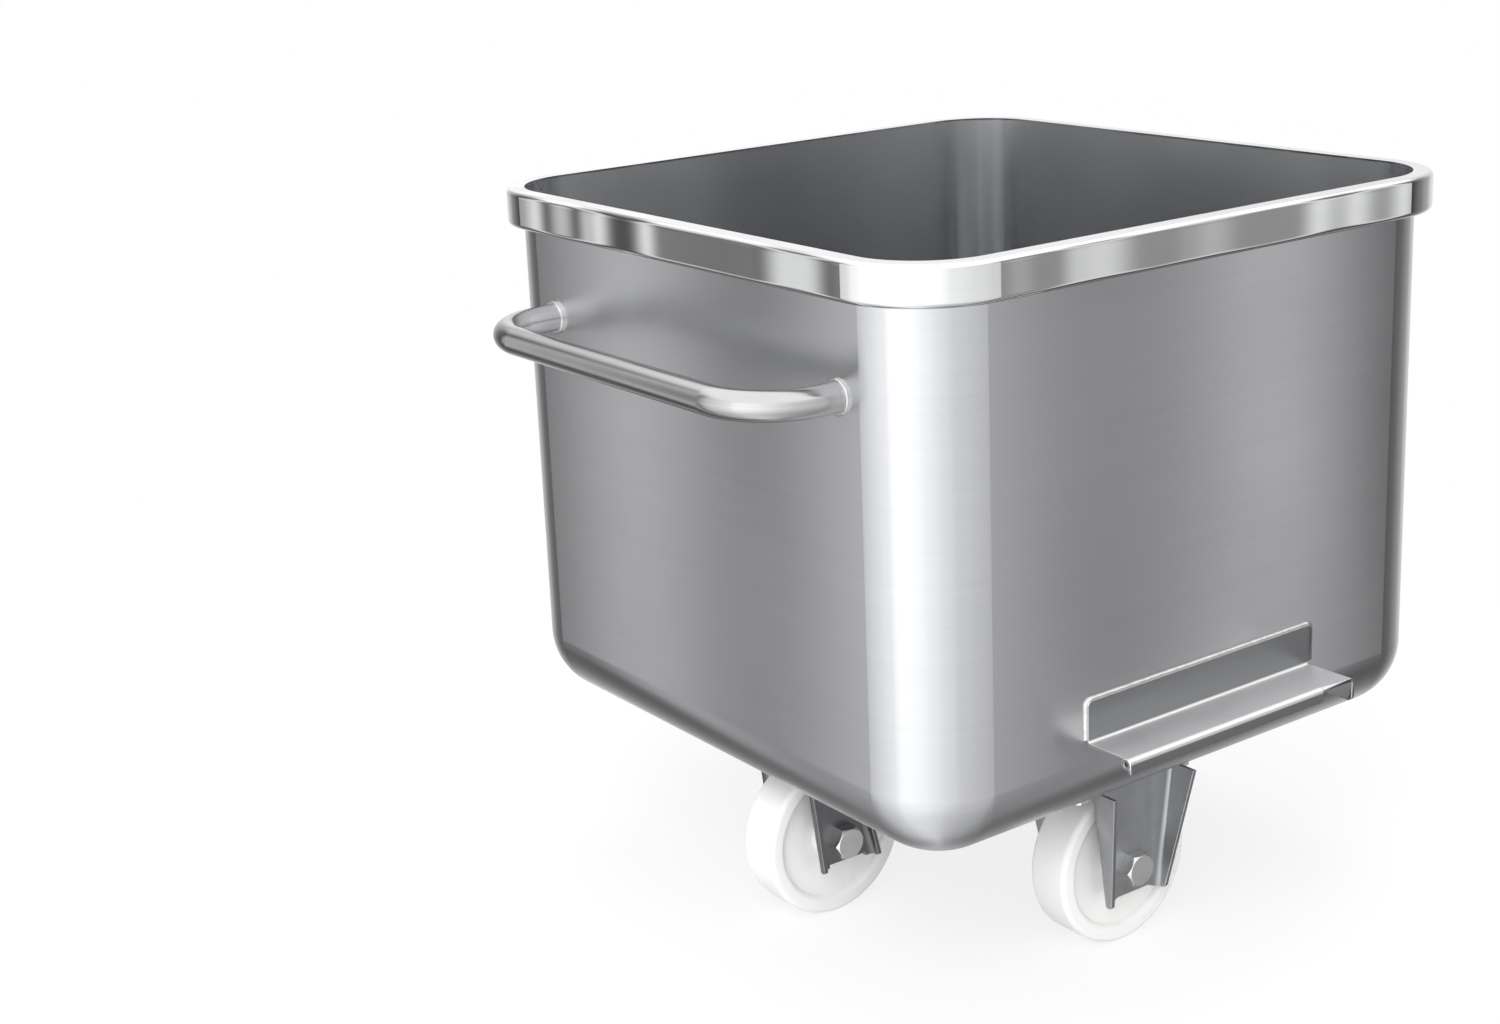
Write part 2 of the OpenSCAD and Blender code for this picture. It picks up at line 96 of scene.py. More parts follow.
def finish_of(name, colour, roughness, metallic=1.0):
    """A new material with its Principled shader set to plain values."""
    material = bpy.data.materials.new(name)
    material.use_nodes = True
    shader = material.node_tree.nodes["Principled BSDF"]
    shader.inputs["Base Color"].default_value = (*colour, 1)
    shader.inputs["Roughness"].default_value = roughness
    shader.inputs["Metallic"].default_value = metallic
    return material, material.node_tree, shader


def dress(material, *names):
    """Gives CAD nodes a finish by their own material slots."""
    for name in names:
        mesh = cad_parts[name].data
        if not mesh.materials:
            mesh.materials.append(material)
        for index in range(len(mesh.materials)):
            mesh.materials[index] = material


# Ground grain: long fine scratches over broader ones, drawn out along X and Y and close together across Z.
COARSE_DRAW = (0.45, 0.45, 0.12)
FINE_SHARE, COARSE_SHARE = 0.55, 0.45
grain, grain_in, grain_out = effect(
    "ground_grain", {"Along": 5.0, "Across": 700.0}, {"Shade": "Float", "Height": "Float"})
place = node(grain, "TexCoord")
stretch = node(grain, "CombineXYZ")
drawn = node(grain, "VectorMath", operation="MULTIPLY")
fine = node(grain, "TexNoise", Scale=1.0, Detail=3.0, Roughness=0.6)
coarse_drawn = node(grain, "VectorMath", operation="MULTIPLY")
coarse_drawn.inputs[1].default_value = COARSE_DRAW
coarse = node(grain, "TexNoise", Scale=1.0, Detail=2.0, Roughness=0.5)
both = node(grain, "Math", operation="MULTIPLY_ADD")
both.inputs[1].default_value = FINE_SHARE
coarse_part = node(grain, "Math", operation="MULTIPLY")
coarse_part.inputs[1].default_value = COARSE_SHARE
join(grain,
     grain_in.outputs["Along"], stretch.inputs["X"],
     grain_in.outputs["Along"], stretch.inputs["Y"],
     grain_in.outputs["Across"], stretch.inputs["Z"],
     place.outputs["Object"], drawn.inputs[0],
     stretch.outputs["Vector"], drawn.inputs[1],
     drawn.outputs["Vector"], fine.inputs["Vector"],
     drawn.outputs["Vector"], coarse_drawn.inputs[0],
     coarse_drawn.outputs["Vector"], coarse.inputs["Vector"],
     coarse.outputs["Fac"], coarse_part.inputs[0],
     fine.outputs["Fac"], both.inputs[0],
     coarse_part.outputs["Value"], both.inputs[2],
     both.outputs["Value"], grain_out.inputs["Shade"],
     fine.outputs["Fac"], grain_out.inputs["Height"])

# Handling haze: broad soft patches where a wiped surface is a little duller.
haze, haze_in, haze_out = effect(
    "handling_haze", {"Scale": 4.0, "Low": 0.25, "High": 0.4}, {"Dullness": "Float"})
haze_place = node(haze, "TexCoord")
patches = node(haze, "TexNoise", Detail=4.0, Roughness=0.55)
dullness = node(haze, "MapRange", From_Min=0.3, From_Max=0.7)
join(haze,
     haze_place.outputs["Object"], patches.inputs["Vector"],
     haze_in.outputs["Scale"], patches.inputs["Scale"],
     patches.outputs["Fac"], dullness.inputs["Value"],
     haze_in.outputs["Low"], dullness.inputs["To Min"],
     haze_in.outputs["High"], dullness.inputs["To Max"],
     dullness.outputs["Result"], haze_out.inputs["Dullness"])


# Sockets of a colour mix: its share, its two colours and its result.
MIX_SHARE, MIX_FIRST, MIX_SECOND, MIX_RESULT = 0, 6, 7, 2


def colour_mix(tree, second, **settings):
    """Adds a mix of two colours with its second colour set."""
    made = node(tree, "Mix", data_type="RGBA", **settings)
    made.inputs[MIX_SECOND].default_value = second
    return made


def two_greys(tree, mask, colour, spread):
    """A colour that a mask moves a little darker and lighter."""
    mix = colour_mix(tree, (*[c * (1 + spread) for c in colour], 1))
    mix.inputs[MIX_FIRST].default_value = (*[c * (1 - spread) for c in colour], 1)
    join(tree, mask, mix.inputs[MIX_SHARE])
    return mix.outputs[MIX_RESULT]


tub_satin, tree, steel = finish_of("tub_satin", TUB_GREY, roughness=0.32)
scratches = placed(tree, grain, Along=5.0, Across=700.0)
patch = placed(tree, haze, Scale=3.5, Low=0.22, High=0.27)
round_walls = node(tree, "Tangent", direction_type="RADIAL", axis="Z")
steel.inputs["Anisotropic"].default_value = 0.8
steel.inputs["Anisotropic Rotation"].default_value = 0.25
tub_place = node(tree, "TexCoord")
from_middle = node(tree, "VectorMath", operation="SUBTRACT")
from_middle.inputs[1].default_value = (TUB_MIDDLE_X, 0, 0)
flat = node(tree, "VectorMath", operation="MULTIPLY")
flat.inputs[1].default_value = LEVEL_ONLY
square = node(tree, "VectorMath", operation="DOT_PRODUCT")
bulge = node(tree, "Math", operation="MULTIPLY")
bulge.inputs[1].default_value = -WALL_BOW / WALL_HALF ** 2
relief = node(tree, "Math", operation="MULTIPLY_ADD")
relief.inputs[1].default_value = SCRATCH_DEPTH
raised = node(tree, "Bump", Strength=1.0, Distance=1.0)
join(tree,
     two_greys(tree, scratches.outputs["Shade"], TUB_GREY, spread=0.05), steel.inputs["Base Color"],
     patch.outputs["Dullness"], steel.inputs["Roughness"],
     round_walls.outputs["Tangent"], steel.inputs["Tangent"],
     tub_place.outputs["Object"], from_middle.inputs[0],
     from_middle.outputs["Vector"], flat.inputs[0],
     flat.outputs["Vector"], square.inputs[0],
     flat.outputs["Vector"], square.inputs[1],
     square.outputs["Value"], bulge.inputs[0],
     scratches.outputs["Height"], relief.inputs[0],
     bulge.outputs["Value"], relief.inputs[2],
     relief.outputs["Value"], raised.inputs["Height"],
     raised.outputs["Normal"], steel.inputs["Normal"])
dress(tub_satin, "jacket", "base_pan")

# Rim band
# A hollow edge folded from the same stainless sheet round the top, closed and polished bright after welding.
# The polished face is never quite flat, so its reflections waver.
RIM_GREY = (0.78, 0.785, 0.79)
rim_bright, tree, steel = finish_of("rim_bright", RIM_GREY, roughness=0.14)
scratches = placed(tree, grain, Along=4.0, Across=900.0)
patch = placed(tree, haze, Scale=5.0, Low=0.04, High=0.08)
rim_place = node(tree, "TexCoord")
upright = node(tree, "VectorMath", operation="MULTIPLY")
upright.inputs[1].default_value = LEVEL_ONLY
ripple = node(tree, "TexNoise", Scale=8.0, Detail=0.0)
waves = node(tree, "Bump", Strength=1.0, Distance=0.012)
join(tree,
     two_greys(tree, scratches.outputs["Shade"], RIM_GREY, spread=0.08), steel.inputs["Base Color"],
     patch.outputs["Dullness"], steel.inputs["Roughness"],
     rim_place.outputs["Object"], upright.inputs[0],
     upright.outputs["Vector"], ripple.inputs["Vector"],
     ripple.outputs["Fac"], waves.inputs["Height"],
     waves.outputs["Normal"], steel.inputs["Normal"])
dress(rim_bright, "rim_band")

# Handle
# One stainless tube bent to a U and welded square to the wall, brushed along its length; each end has a thin
# weld ring that is polished bright.
HANDLE_GREY = (0.50, 0.50, 0.505)
handle_brushed, tree, steel = finish_of("handle_brushed", HANDLE_GREY, roughness=0.26)
scratches = placed(tree, grain, Along=6.0, Across=500.0)
patch = placed(tree, haze, Scale=9.0, Low=0.16, High=0.22)
join(tree,
     two_greys(tree, scratches.outputs["Shade"], HANDLE_GREY, spread=0.14), steel.inputs["Base Color"],
     patch.outputs["Dullness"], steel.inputs["Roughness"])
dress(handle_brushed, "handle")

# Weld metal: dressed beads with a fine scaly ripple and a slight heat tint.
WELD_GREY = (0.70, 0.70, 0.695)
weld_bead, tree, steel = finish_of("weld_bead", WELD_GREY, roughness=0.3)
weld_place = node(tree, "TexCoord")
scales = node(tree, "TexVoronoi", Scale=260.0, feature="SMOOTH_F1")
mottle = node(tree, "TexNoise", Scale=120.0, Detail=3.0)
bead_relief = node(tree, "Bump", Strength=0.6, Distance=0.0006)
join(tree,
     weld_place.outputs["Object"], scales.inputs["Vector"],
     weld_place.outputs["Object"], mottle.inputs["Vector"],
     two_greys(tree, mottle.outputs["Fac"], WELD_GREY, spread=0.3), steel.inputs["Base Color"],
     scales.outputs["Distance"], bead_relief.inputs["Height"],
     bead_relief.outputs["Normal"], steel.inputs["Normal"])
dress(weld_bead, "handle_collars", "bracket_welds")

# Lifting brackets
# Folded from 3 mm stainless sheet: a back flange welded to the wall, a shelf, a turned-down lip and an end
# flange away from the handle. Faces that point up, the shelf above all, are painted lighter as a painted
# highlight, and the bends and sharp edges carry a painted highlight too. The arms of a lifting device take
# the tub under the two shelves.
BRACKET_GREY = (0.29, 0.294, 0.302)
# Painted highlight: faces that point up, the shelf above all, are painted this lighter grey.
SHELF_PAINTED_LIGHT = (0.82, 0.82, 0.825, 1)
SHELF_SCUFF = 0.18
# Painted highlight: the bends and sharp edges are painted this near white.
EDGE_PAINTED_HIGHLIGHT = (0.95, 0.95, 0.95, 1)

# Edge light: a rounded normal at sharp edges, and a mask of the edge itself.
edges, edges_in, edges_out = effect(
    "rounded_edge", {"Radius": 0.001}, {"Edge": "Float", "Normal": "Vector"})
rounded = node(edges, "Bevel", samples=6)
plain = node(edges, "NewGeometry")
facing = node(edges, "VectorMath", operation="DOT_PRODUCT")
edge_mask = node(edges, "MapRange", From_Min=1.0, From_Max=0.85)
join(edges,
     edges_in.outputs["Radius"], rounded.inputs["Radius"],
     rounded.outputs["Normal"], facing.inputs[0],
     plain.outputs["Normal"], facing.inputs[1],
     facing.outputs["Value"], edge_mask.inputs["Value"],
     edge_mask.outputs["Result"], edges_out.inputs["Edge"],
     rounded.outputs["Normal"], edges_out.inputs["Normal"])

bracket_satin, tree, steel = finish_of("bracket_satin", BRACKET_GREY, roughness=0.36)
scratches = placed(tree, grain, Along=8.0, Across=400.0)
patch = placed(tree, haze, Scale=8.0, Low=0.30, High=0.42)
# Painted highlight: a mask of faces that point up mixes in the lighter shelf grey; the same mask also makes
# them rougher.
bracket_face = node(tree, "NewGeometry")
face_parts = node(tree, "SeparateXYZ")
upper_face = node(tree, "MapRange", From_Min=0.6, From_Max=0.95)
shelf_painted_light = colour_mix(tree, SHELF_PAINTED_LIGHT)
scuffed = node(tree, "Math", operation="MULTIPLY_ADD")
scuffed.inputs[1].default_value = SHELF_SCUFF
# Painted highlight: bends, found from the face direction between side and up, and sharp edges are mixed
# towards near white.
fold = node(tree, "Math", operation="MULTIPLY")
across = node(tree, "Math", operation="ABSOLUTE")
bend_highlight_mask = node(tree, "MapRange", From_Min=0.12, From_Max=0.3)
bend_and_edge_highlight_mask = node(tree, "Math", operation="MAXIMUM")
rims = placed(tree, edges, Radius=0.0012)
painted_edge_highlight = colour_mix(tree, EDGE_PAINTED_HIGHLIGHT)
join(tree,
     face_parts.outputs["Y"], across.inputs[0],
     across.outputs["Value"], fold.inputs[0],
     face_parts.outputs["Z"], fold.inputs[1],
     fold.outputs["Value"], bend_highlight_mask.inputs["Value"],
     bend_highlight_mask.outputs["Result"], bend_and_edge_highlight_mask.inputs[0],
     rims.outputs["Edge"], bend_and_edge_highlight_mask.inputs[1],
     bend_and_edge_highlight_mask.outputs["Value"], painted_edge_highlight.inputs[MIX_SHARE],
     bracket_face.outputs["Normal"], face_parts.inputs["Vector"],
     face_parts.outputs["Z"], upper_face.inputs["Value"],
     upper_face.outputs["Result"], shelf_painted_light.inputs[MIX_SHARE],
     two_greys(tree, scratches.outputs["Shade"], BRACKET_GREY, spread=0.1), shelf_painted_light.inputs[MIX_FIRST],
     shelf_painted_light.outputs[MIX_RESULT], painted_edge_highlight.inputs[MIX_FIRST],
     painted_edge_highlight.outputs[MIX_RESULT], steel.inputs["Base Color"],
     upper_face.outputs["Result"], scuffed.inputs[0],
     patch.outputs["Dullness"], scuffed.inputs[2],
     scuffed.outputs["Value"], steel.inputs["Roughness"],
     rims.outputs["Normal"], steel.inputs["Normal"])

SHARP_FROM = math.radians(32)


def piece(name, mesh, material, slot, *nodes):
    """Makes a mesh into a piece of the bin's body, in place of CAD nodes."""
    mesh.materials.clear()
    mesh.materials.append(material)
    mesh.shade_smooth()
    mesh.set_sharp_from_angle(angle=SHARP_FROM)
    made = bpy.data.objects.new(name, mesh)
    bpy.context.scene.collection.objects.link(made)
    even = made.modifiers.new("even_faces", "WEIGHTED_NORMAL")
    even.keep_sharp = True
    even.weight = 100
    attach(made, "bin")
    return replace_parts(made, *nodes)


# The end towards the handle is cut plain, and the lip's fold ends there in a small rolled eye.
BRACKET_NEAR = TUB_MIDDLE_X - 0.144
PLAIN_END = 0.014
FLANGE_TOP, FLANGE_CORNER, CORNER_STEPS = 0.3005, 0.005, 6
EYE_Y, EYE_Z, EYE_R, EYE_BORE = 0.3725, 0.257, 0.0052, 0.0024
EYE_LONG, EYE_PROUD, EYE_STEPS = 0.006, 0.0004, 24
SAME_POINT, AT_END, AT_TOP = 1e-6, 1e-5, 1e-4
for name, side in (("lift_bracket_left", 1), ("lift_bracket_right", -1)):
    sheet = bmesh.new()
    sheet.from_mesh(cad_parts[name].data)
    bmesh.ops.remove_doubles(sheet, verts=sheet.verts[:], dist=SAME_POINT)
    cut = bmesh.ops.bisect_plane(
        sheet, geom=sheet.verts[:] + sheet.edges[:] + sheet.faces[:], dist=SAME_POINT,
        plane_co=(BRACKET_NEAR + PLAIN_END, 0, 0), plane_no=(-1, 0, 0), clear_outer=True)
    section = [edge for edge in cut["geom_cut"] if isinstance(edge, bmesh.types.BMEdge)]
    grown = bmesh.ops.extrude_edge_only(sheet, edges=section)["geom"]
    bmesh.ops.translate(sheet, verts=[vert for vert in grown if isinstance(vert, bmesh.types.BMVert)],
                        vec=(-PLAIN_END, 0, 0))
    bmesh.ops.contextual_create(
        sheet, geom=[edge for edge in grown if isinstance(edge, bmesh.types.BMEdge)])
    corner = [edge for edge in sheet.edges
              if all(vert.co.x < BRACKET_NEAR + AT_END and vert.co.z > FLANGE_TOP - AT_TOP
                     for vert in edge.verts)]
    bmesh.ops.bevel(
        sheet, geom=corner, offset=FLANGE_CORNER, segments=CORNER_STEPS, profile=0.5, affect="EDGES")
    turns = [2 * math.pi * step / EYE_STEPS for step in range(EYE_STEPS)]
    rings = []
    for x in (BRACKET_NEAR - EYE_PROUD, BRACKET_NEAR + EYE_LONG):
        for radius in (EYE_R, EYE_BORE):
            rings.append([sheet.verts.new((x, side * (EYE_Y + radius * math.cos(turn)),
                                           EYE_Z + radius * math.sin(turn))) for turn in turns])
    for first, second in ((0, 1), (1, 3), (3, 2), (2, 0)):
        for step in range(EYE_STEPS):
            after = (step + 1) % EYE_STEPS
            sheet.faces.new((rings[first][step], rings[first][after],
                             rings[second][after], rings[second][step]))
    bmesh.ops.recalc_face_normals(sheet, faces=sheet.faces[:])
    folded = bpy.data.meshes.new(f"{name}_sheet")
    sheet.to_mesh(folded)
    sheet.free()
    piece(f"{name}_sheet", folded, bracket_satin, "bracket_steel", name)

# Castor forks and plates
# Pressed from 4 mm steel sheet with turned edges and a dull plated finish; the swivel pair have a ball race
# between crown and top plate. Pads with studs are welded under the floor and carry the plates.
FORK_GREY = (0.40, 0.405, 0.415)
# Painted shade: the swivel forks have the same plating as the fixed ones, painted darker for the shade under
# the tub.
SWIVEL_SHADE_GREY = (0.20, 0.203, 0.21)


def plated(name, grey, edge_wear_and_highlight):
    """A dull plated finish, lighter at sharp edges: edge wear and a painted edge highlight."""
    material, tree, steel = finish_of(name, grey, roughness=0.42)
    spangle = node(tree, "TexNoise", Scale=60.0, Detail=4.0)
    fork_place = node(tree, "TexCoord")
    patch = placed(tree, haze, Scale=14.0, Low=0.36, High=0.5)
    rims = placed(tree, edges, Radius=0.0012)
    # Edge wear and painted highlight: the edge mask mixes in a lighter grey at convex and concave edges.
    worn_and_highlit_edge = colour_mix(tree, (edge_wear_and_highlight, edge_wear_and_highlight, edge_wear_and_highlight, 1))
    join(tree,
         fork_place.outputs["Object"], spangle.inputs["Vector"],
         rims.outputs["Edge"], worn_and_highlit_edge.inputs[MIX_SHARE],
         two_greys(tree, spangle.outputs["Fac"], grey, spread=0.15), worn_and_highlit_edge.inputs[MIX_FIRST],
         worn_and_highlit_edge.outputs[MIX_RESULT], steel.inputs["Base Color"],
         patch.outputs["Dullness"], steel.inputs["Roughness"],
         rims.outputs["Normal"], steel.inputs["Normal"])
    return material


fork_plated = plated("fork_plated", FORK_GREY, edge_wear_and_highlight=0.7)
# Painted shade: a darker copy of the fork plating for the swivel forks under the tub.
swivel_painted_shade = plated("swivel_painted_shade", SWIVEL_SHADE_GREY, edge_wear_and_highlight=0.45)
dress(swivel_painted_shade, "rear_fork", "front_fork")

# The four quarters seen from above, as signs of X and Y.
QUARTERS = ((1, 1), (-1, 1), (-1, -1), (1, -1))
ROUND_STEPS = 6


def rounded_rectangle(middle, length, width, corner):
    """Corner points of a rectangle with rounded corners, seen from above."""
    points = []
    for quarter, (x, y) in enumerate(QUARTERS):
        for step in range(ROUND_STEPS + 1):
            angle = math.pi / 2 * (quarter + step / ROUND_STEPS)
            points.append((middle[0] + x * (length / 2 - corner) + corner * math.cos(angle),
                           middle[1] + y * (width / 2 - corner) + corner * math.sin(angle)))
    return points


def prism(mesh_data, outline, low, high):
    """Adds an upright solid over an outline to lists of points and faces."""
    points, faces = mesh_data
    start, count = len(points), len(outline)
    points += [(x, y, low) for x, y in outline] + [(x, y, high) for x, y in outline]
    faces += [tuple(range(start + count - 1, start - 1, -1)), tuple(range(start + count, start + 2 * count))]
    faces += [(start + i, start + (i + 1) % count, start + count + (i + 1) % count, start + count + i)
              for i in range(count)]


def solid(name, mesh_data, material, slot, rounding, *nodes):
    """A piece made from points and faces, with soft edges."""
    mesh = bpy.data.meshes.new(name)
    mesh.from_pydata(mesh_data[0], [], mesh_data[1])
    made = piece(name, mesh, material, slot, *nodes)
    soft = made.modifiers.new("soft_edges", "BEVEL")
    soft.width = rounding
    soft.segments = 2
    soft.limit_method = "ANGLE"
    soft.angle_limit = math.radians(40)
    soft.harden_normals = True


# Castor plates: flat, 152 by 80 mm, each on a welded pad. The fixed ones lie along the trolley and the others
# across it.
PLATE_LONG, PLATE_WIDE, PLATE_CORNER = 0.152, 0.080, 0.008
PLATE_LOW, PAD_LOW, TUB_LOW = 0.1715, 0.1755, 0.1775
PAD_EDGE, PLATE_EDGE = 0.0005, 0.0008
FIXED_SEATS = {"left": (0.02175, 0.224), "right": (0.02175, -0.224)}
SWIVEL_SEATS = {"rear": (-0.18025, 0.0), "front": (0.25975, 0.0)}
CASTORS = (*FIXED_SEATS, *SWIVEL_SEATS)
plate_outlines = {name: rounded_rectangle(seat, PLATE_LONG, PLATE_WIDE, PLATE_CORNER)
                  for name, seat in FIXED_SEATS.items()}
plate_outlines.update({name: rounded_rectangle(seat, PLATE_WIDE, PLATE_LONG, PLATE_CORNER)
                       for name, seat in SWIVEL_SEATS.items()})
pads = ([], [])
for outline in plate_outlines.values():
    prism(pads, outline, PAD_LOW, TUB_LOW)
solid("welded_pads", pads, fork_plated, "fork_steel", PAD_EDGE, "castor_pads")
for name in SWIVEL_SEATS:
    plate = ([], [])
    prism(plate, plate_outlines[name], PLATE_LOW, PAD_LOW)
    solid(f"{name}_flat_plate", plate, fork_plated, "fork_steel", PLATE_EDGE, f"{name}_top_plate")

# Fixed forks: two legs with turned edges that get deeper towards the plate.
AXLE_Z = 0.080
LEG_INSIDE, FORK_SHEET, BEND_R = 0.029, 0.004, 0.009
LEG_HALF, LEG_LEAN = 0.041, math.tan(math.radians(7.8))
EDGE_FOOT, EDGE_HEAD = 0.013, 0.033
WEB_BOTTOM, TAB_BOTTOM, LEG_TOP = -0.026, -0.0305, PLATE_LOW - AXLE_Z
BEND_RISE, WEB_RISE = 0.2, 0.3
EDGE_SHARES, WEB_SHARES, BEND_STEPS = (1.0, 0.97, 0.88, 0.7, 0.4), (0.1, 0.2, 0.3, 0.6), 6


def leg_point(station, inner, z):
    """Place of a station on a leg's cross-section at a height over the axle.

    It lies on the wheel's side of the sheet, or inside the channel where inner is true.
    """
    side, kind, share = station
    half = LEG_HALF + z * LEG_LEAN
    inset = FORK_SHEET if inner else 0.0
    if kind == "edge":
        deep = EDGE_FOOT + (EDGE_HEAD - EDGE_FOOT) * (z - TAB_BOTTOM) / (LEG_TOP - TAB_BOTTOM)
        return side * (half - inset), BEND_R + share * (deep - BEND_R)
    if kind == "bend":
        angle = math.pi / 2 * share
        radius = BEND_R - inset
        return side * (half - BEND_R + radius * math.cos(angle)), BEND_R - radius * math.sin(angle)
    return side * (half - BEND_R) * (1 - share), inset


def leg_foot(station):
    """Height of a leg's lower edge at a station.

    It is rounded at the free edge, lowest at the bend and higher at the web.
    """
    _, kind, share = station
    if kind == "edge":
        return TAB_BOTTOM + (EDGE_FOOT - BEND_R) * (1 - math.sqrt(1 - share ** 2))
    if kind == "bend":
        return TAB_BOTTOM + BEND_RISE * (WEB_BOTTOM - TAB_BOTTOM) * share
    risen = BEND_RISE + (1 - BEND_RISE) * min(1.0, share / WEB_RISE)
    return TAB_BOTTOM + (WEB_BOTTOM - TAB_BOTTOM) * risen


half_leg = ([("edge", share) for share in EDGE_SHARES]
            + [("bend", step / BEND_STEPS) for step in range(BEND_STEPS + 1)]
            + [("web", share) for share in WEB_SHARES])
stations = ([(-1, *station) for station in half_leg] + [(-1, "web", 1.0)]
            + [(1, *station) for station in reversed(half_leg)])
for name, (seat_x, seat_y) in FIXED_SEATS.items():
    fork = ([], [])
    prism(fork, plate_outlines[name], PLATE_LOW, PAD_LOW)
    for across in (-1, 1):
        points, faces = fork
        start, count = len(points), len(stations)
        for inner in (False, True):
            for top in (False, True):
                for station in stations:
                    z = LEG_TOP if top else leg_foot(station)
                    x, y = leg_point(station, inner, z)
                    points.append((seat_x + x, seat_y + across * (LEG_INSIDE + y), AXLE_Z + z))
        low_out, high_out, low_in, high_in = (
            range(start + row * count, start + (row + 1) * count) for row in range(4))
        strips = [(low_out, high_out), (high_out, high_in), (high_in, low_in), (low_in, low_out)]
        made = [(first[i], first[i + 1], second[i + 1], second[i])
                for first, second in strips for i in range(count - 1)]
        made += [(low_out[0], high_out[0], high_in[0], low_in[0]),
                 (low_out[-1], low_in[-1], high_in[-1], high_out[-1])]
        faces += made if across < 0 else [face[::-1] for face in made]
    solid(f"{name}_pressed_fork", fork, fork_plated, "fork_steel", PLATE_EDGE, f"{name}_fork")

# Fasteners and race balls
# Bright zinc-plated hexagon bolts and nuts, turned steel sleeves and kingpins, and polished bearing balls.
# A bolt and nut hold each wheel in its fork, and four studs with nuts hold each castor under its pad.
BOLT_GREY = (0.72, 0.72, 0.725)
bolt_zinc, tree, steel = finish_of("bolt_zinc", BOLT_GREY, roughness=0.28)
bolt_place = node(tree, "TexCoord")
frost = node(tree, "TexNoise", Scale=300.0, Detail=3.0)
patch = placed(tree, haze, Scale=40.0, Low=0.22, High=0.36)
rims = placed(tree, edges, Radius=0.0008)
join(tree,
     bolt_place.outputs["Object"], frost.inputs["Vector"],
     two_greys(tree, frost.outputs["Fac"], BOLT_GREY, spread=0.06), steel.inputs["Base Color"],
     patch.outputs["Dullness"], steel.inputs["Roughness"],
     rims.outputs["Normal"], steel.inputs["Normal"])
dress(bolt_zinc, "rear_kingpin", "front_kingpin", "rear_race_balls", "front_race_balls",
      *[f"{castor}_axle_{part}" for castor in CASTORS for part in ("bolt", "nut", "sleeve")])

# Castor studs and nuts: four to a plate, hanging from the pad, with the nut under the plate.
STUD_R, STUD_LOW, STUD_SIDES, STUD_EDGE = 0.005, 0.1615, 20, 0.0006
NUT_R, NUT_LOW, NUT_SIDES, NUT_EDGE = 0.0098, 0.1635, 6, 0.0008
STUD_LONG, STUD_WIDE = 0.0655, 0.028
studs, nuts = ([], []), ([], [])
for name, (seat_x, seat_y) in {**FIXED_SEATS, **SWIVEL_SEATS}.items():
    reach_x, reach_y = (STUD_LONG, STUD_WIDE) if name in FIXED_SEATS else (STUD_WIDE, STUD_LONG)
    for x, y in QUARTERS:
        for made, radius, corners, low, high in ((studs, STUD_R, STUD_SIDES, STUD_LOW, PAD_LOW),
                                                 (nuts, NUT_R, NUT_SIDES, NUT_LOW, PLATE_LOW)):
            prism(made, [(seat_x + x * reach_x + radius * math.cos(2 * math.pi * turn / corners),
                          seat_y + y * reach_y + radius * math.sin(2 * math.pi * turn / corners))
                         for turn in range(corners)], low, high)
solid("welded_studs", studs, bolt_zinc, "fastener_steel", STUD_EDGE, "castor_studs")
solid("hexagon_nuts", nuts, bolt_zinc, "fastener_steel", NUT_EDGE, "castor_nuts")

# Wheels
# Moulded white polyamide with soft edges, a thin web and a hub. A roller bearing in a nylon cage is pressed
# into the hub and runs on the axle's sleeve.
WHEEL_WHITE = (0.92, 0.92, 0.91)
wheel_white, tree, plastic = finish_of("wheel_white", WHEEL_WHITE, roughness=0.42, metallic=0.0)
wheel_place = node(tree, "TexCoord")
flow = node(tree, "TexNoise", Scale=18.0, Detail=3.0)
texture = node(tree, "TexNoise", Scale=900.0, Detail=2.0)
patch = placed(tree, haze, Scale=12.0, Low=0.36, High=0.5)
moulded = node(tree, "Bump", Strength=0.15, Distance=0.0004)
join(tree,
     wheel_place.outputs["Object"], flow.inputs["Vector"],
     wheel_place.outputs["Object"], texture.inputs["Vector"],
     two_greys(tree, flow.outputs["Fac"], WHEEL_WHITE, spread=0.03), plastic.inputs["Base Color"],
     patch.outputs["Dullness"], plastic.inputs["Roughness"],
     texture.outputs["Fac"], moulded.inputs["Height"],
     moulded.outputs["Normal"], plastic.inputs["Normal"])
dress(wheel_white, *[f"{castor}_wheel" for castor in CASTORS])

# Bearing cage: darker moulded nylon with a faint speckle.
CAGE_GREY = (0.35, 0.35, 0.34)
cage_nylon, tree, plastic = finish_of("cage_nylon", CAGE_GREY, roughness=0.5, metallic=0.0)
cage_place = node(tree, "TexCoord")
speckle = node(tree, "TexNoise", Scale=200.0, Detail=2.0)
join(tree,
     cage_place.outputs["Object"], speckle.inputs["Vector"],
     two_greys(tree, speckle.outputs["Fac"], CAGE_GREY, spread=0.12), plastic.inputs["Base Color"])
dress(cage_nylon, *[f"{castor}_wheel_bearing" for castor in CASTORS])

